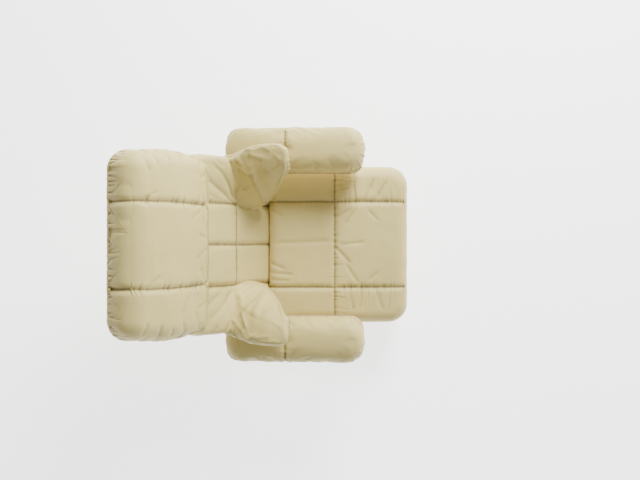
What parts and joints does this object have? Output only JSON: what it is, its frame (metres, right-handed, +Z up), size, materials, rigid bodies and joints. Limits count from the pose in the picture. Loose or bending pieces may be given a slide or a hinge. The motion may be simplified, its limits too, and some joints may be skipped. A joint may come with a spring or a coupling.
{
  "type": "swivel recliner seat unit",
  "caption": "Padded leather seat unit of a swivel recliner: seat, winged reclining back, height-adjustable head section and arm pads on a steel frame with a swivel plate.",
  "frame": {"origin": "on the swivel axis, at the flat underside of the lower swivel plate", "axes": "+Z up, -Y towards the front of the seat, +Y towards the back, X across"},
  "size_m": [0.8, 0.9495, 0.7009],
  "materials": {
    "cream_leather": "soft semi-matt, fine grain",
    "foam": "open-cell foam",
    "wadding": "fluffy fibre",
    "plywood": "bare birch ply",
    "frame_steel": "black powder coat",
    "bright_steel": "zinc plated",
    "black_plastic": "moulded, fine texture"
  },
  "bodies": {
    "base": {"swivel_bearing": "bright_steel", "swivel_lower_plate": "frame_steel", "swivel_pin": "bright_steel"},
    "carriage": {"arm_board_left": "plywood", "arm_board_right": "plywood", "arm_cover_left": "cream_leather", "arm_cover_right": "cream_leather", "arm_fill_left": "foam", "arm_fill_right": "foam", "arm_post_front_left": "frame_steel", "arm_post_front_right": "frame_steel", "arm_post_rear_left": "frame_steel", "arm_post_rear_right": "frame_steel", "base_cross_front": "frame_steel", "base_cross_hinge": "frame_steel", "base_cross_rear": "frame_steel", "base_rail_left": "frame_steel", "base_rail_right": "frame_steel", "hinge_bracket_left": "frame_steel", "hinge_bracket_right": "frame_steel", "pivot_bolt_left": "bright_steel", "pivot_bolt_right": "bright_steel", "seat_bar_front": "frame_steel", "seat_bar_left": "frame_steel", "seat_bar_rear": "frame_steel", "seat_bar_right": "frame_steel", "seat_cover": "cream_leather", "seat_foam": "foam", "seat_spring_1": "bright_steel", "seat_spring_2": "bright_steel", "seat_spring_3": "bright_steel", "seat_spring_4": "bright_steel", "seat_wadding": "wadding", "swivel_upper_plate": "frame_steel"},
    "back": {"back_board": "plywood", "back_cover": "cream_leather", "back_cross_bar": "frame_steel", "back_foam": "foam", "back_rear_panel": "cream_leather", "back_sleeve_left": "frame_steel", "back_sleeve_right": "frame_steel", "back_wadding": "wadding", "recline_plate_left": "frame_steel", "recline_plate_right": "frame_steel", "wing_cover_left": "cream_leather", "wing_cover_right": "cream_leather", "wing_fill_left": "foam", "wing_fill_right": "foam"},
    "head": {"head_board": "plywood", "head_cover": "cream_leather", "head_foam": "foam", "head_post_left": "bright_steel", "head_post_right": "bright_steel", "head_rear_panel": "cream_leather", "head_wadding": "wadding"},
    "knob_left": {"recline_knob_left": "black_plastic"},
    "knob_right": {"recline_knob_right": "black_plastic"}
  },
  "joints": [
    {"name": "seat_swivel", "type": "hinge", "parent": "base", "child": "carriage", "pos_m": [0, 0, 0], "axis": [0, 0, 1], "continuous": true},
    {"name": "back_recline", "type": "hinge", "parent": "carriage", "child": "back", "pos_m": [0, 0.24, 0.15], "axis": [-1, 0, 0], "range_deg": [0, 25]},
    {"name": "head_height", "type": "slide", "parent": "back", "child": "head", "axis": [0, 0.5736, 0.8192], "range_m": [0, 0.06]},
    {"name": "recline_knob_left_turn", "type": "hinge", "parent": "carriage", "child": "knob_left", "pos_m": [0, 0.24, 0.15], "axis": [1, 0, 0], "range_deg": [-90, 90]},
    {"name": "recline_knob_right_turn", "type": "hinge", "parent": "carriage", "child": "knob_right", "pos_m": [0, 0.24, 0.15], "axis": [-1, 0, 0], "range_deg": [-90, 90]}
  ]
}
